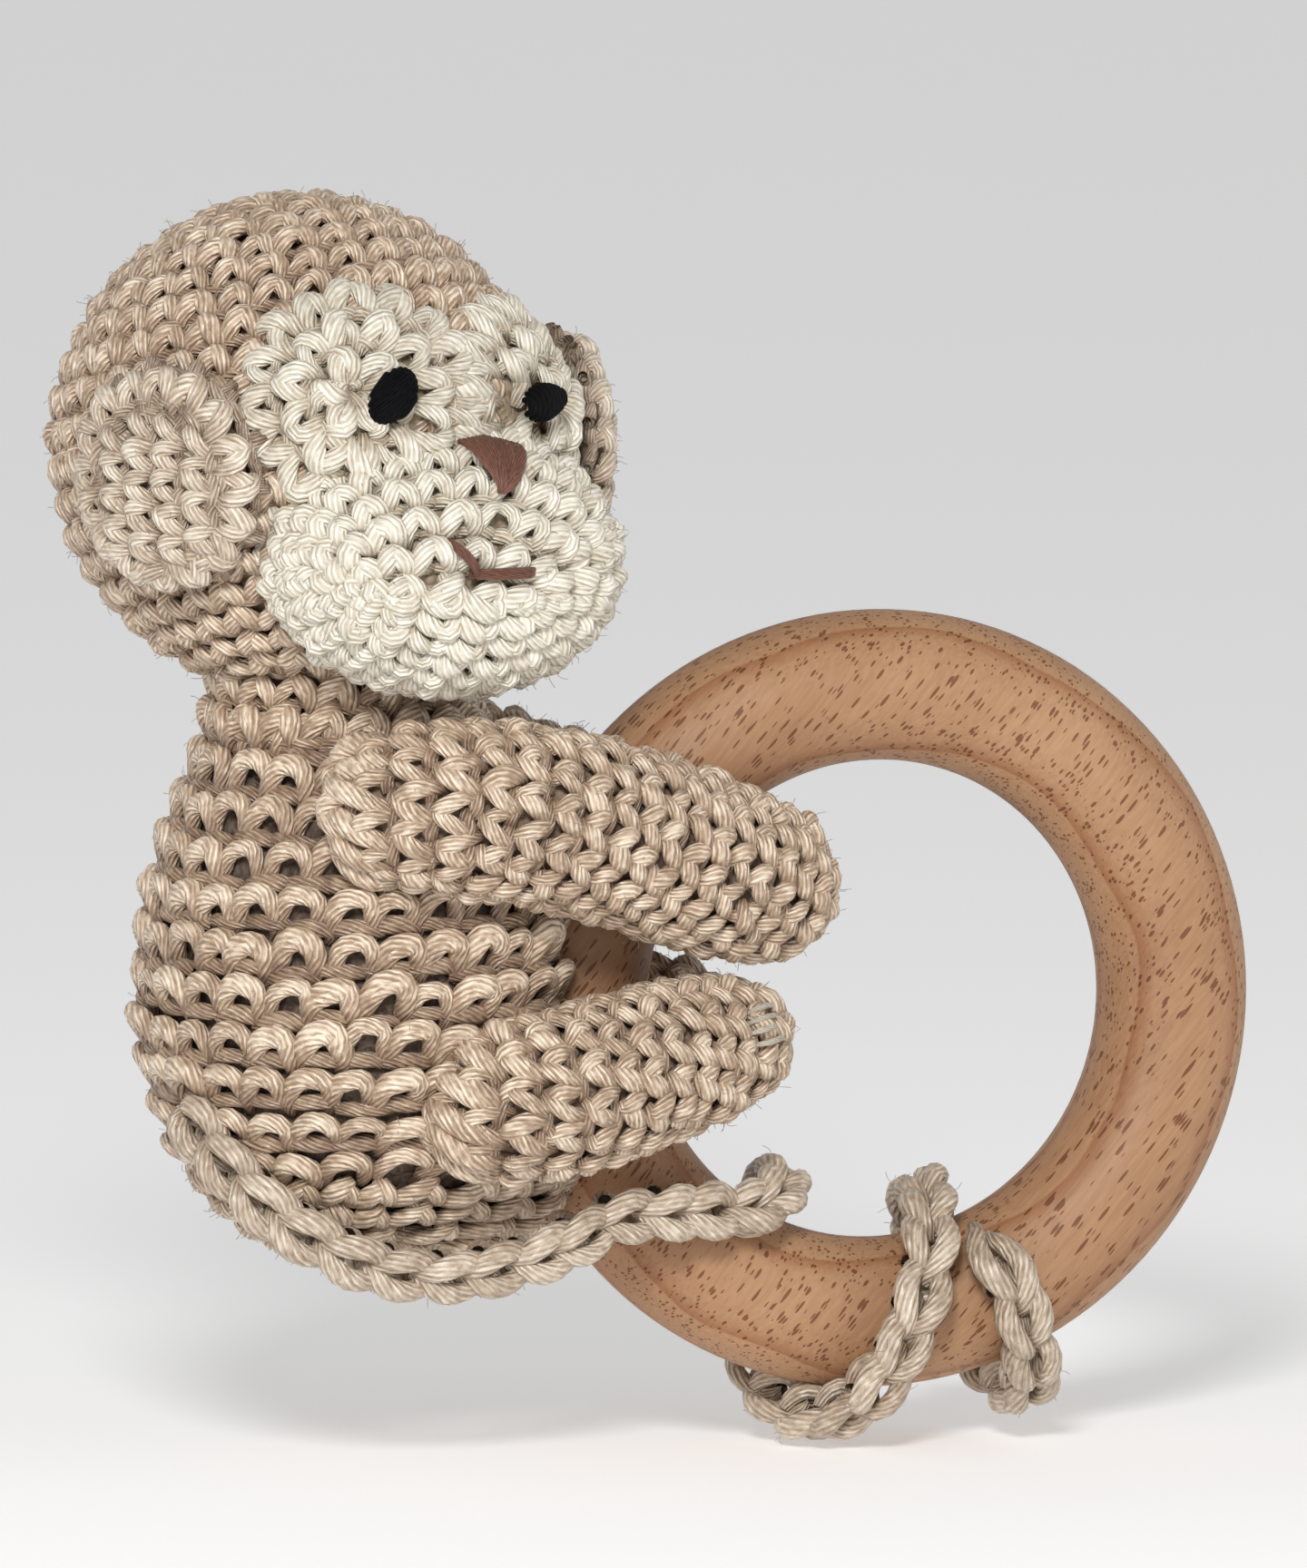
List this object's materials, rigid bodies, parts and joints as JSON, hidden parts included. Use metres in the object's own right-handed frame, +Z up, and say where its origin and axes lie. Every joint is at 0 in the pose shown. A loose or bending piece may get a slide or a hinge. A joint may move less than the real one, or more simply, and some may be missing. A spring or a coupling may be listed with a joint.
{
  "type": "baby rattle",
  "caption": "Crocheted stuffed monkey hugging a wooden teething ring, its chain tail wound round the ring, with a rattle capsule sealed in its belly.",
  "frame": {"origin": "the centre of the teething ring, on its axis and in its middle plane", "axes": "+Y along the ring's axis, +Z up towards the monkey's head, +X from the monkey's back through the ring"},
  "size_m": [0.1111, 0.0576, 0.114],
  "materials": {
    "beech_wood": "sanded beech, bare, short dark flecks",
    "beige_yarn": "single crochet in glossy plied cotton",
    "cream_yarn": "single crochet in glossy plied cotton",
    "black_thread": "satin-stitch embroidery",
    "brown_thread": "satin-stitch embroidery",
    "stuffing": "loose polyester fibre",
    "capsule_plastic": "moulded, smooth",
    "bead_plastic": "moulded, smooth"
  },
  "bodies": {
    "monkey": {"body_shell": "beige_yarn", "body_stuffing_lower": "stuffing", "body_stuffing_upper": "stuffing", "capsule_lower": "capsule_plastic", "capsule_upper": "capsule_plastic", "arm_right_shell": "beige_yarn", "arm_right_stuffing": "stuffing", "arm_left_shell": "beige_yarn", "arm_left_stuffing": "stuffing", "leg_right_shell": "beige_yarn", "leg_right_stuffing": "stuffing", "leg_left_shell": "beige_yarn", "leg_left_stuffing": "stuffing", "hand_knot": "beige_yarn", "foot_knot": "beige_yarn", "tail": "beige_yarn", "tail_tip_knot": "beige_yarn"},
    "ring": {"wood_ring": "beech_wood"},
    "neck": {"neck_stuffing": "stuffing", "neck_seam": "beige_yarn"},
    "head": {"head_shell": "beige_yarn", "head_stuffing": "stuffing", "muzzle_shell": "cream_yarn", "muzzle_stuffing": "stuffing", "brow_patch": "cream_yarn", "ear_right": "beige_yarn", "ear_left": "beige_yarn", "eye_right": "black_thread", "eye_left": "black_thread", "nose_stitches": "brown_thread", "mouth_stitches": "brown_thread"},
    "bead_1": {"rattle_bead_1": "bead_plastic"},
    "bead_2": {"rattle_bead_2": "bead_plastic"},
    "bead_3": {"rattle_bead_3": "bead_plastic"}
  },
  "joints": [
    {"name": "ring_turn", "type": "hinge", "parent": "monkey", "child": "ring", "pos_m": [0, 0, 0], "axis": [0, 1, 0], "continuous": true},
    {"name": "head_turn", "type": "hinge", "parent": "monkey", "child": "neck", "pos_m": [-0.0498, 0, 0.0286], "axis": [0, 0, 1], "range_deg": [-25, 25], "stiffness_Nm_per_rad": 0.3},
    {"name": "head_nod", "type": "hinge", "parent": "neck", "child": "head", "pos_m": [-0.0498, 0, 0.0286], "axis": [0.8965, 0.4431, 0], "range_deg": [-8, 3], "stiffness_Nm_per_rad": 0.6},
    {"name": "bead_1_travel", "type": "slide", "parent": "monkey", "child": "bead_1", "axis": [0, 0, 1], "range_m": [0, 0.0098]},
    {"name": "bead_2_travel", "type": "slide", "parent": "monkey", "child": "bead_2", "axis": [0, 0, 1], "range_m": [0, 0.0098]},
    {"name": "bead_3_travel", "type": "slide", "parent": "monkey", "child": "bead_3", "axis": [0, 0, 1], "range_m": [0, 0.0098]}
  ]
}
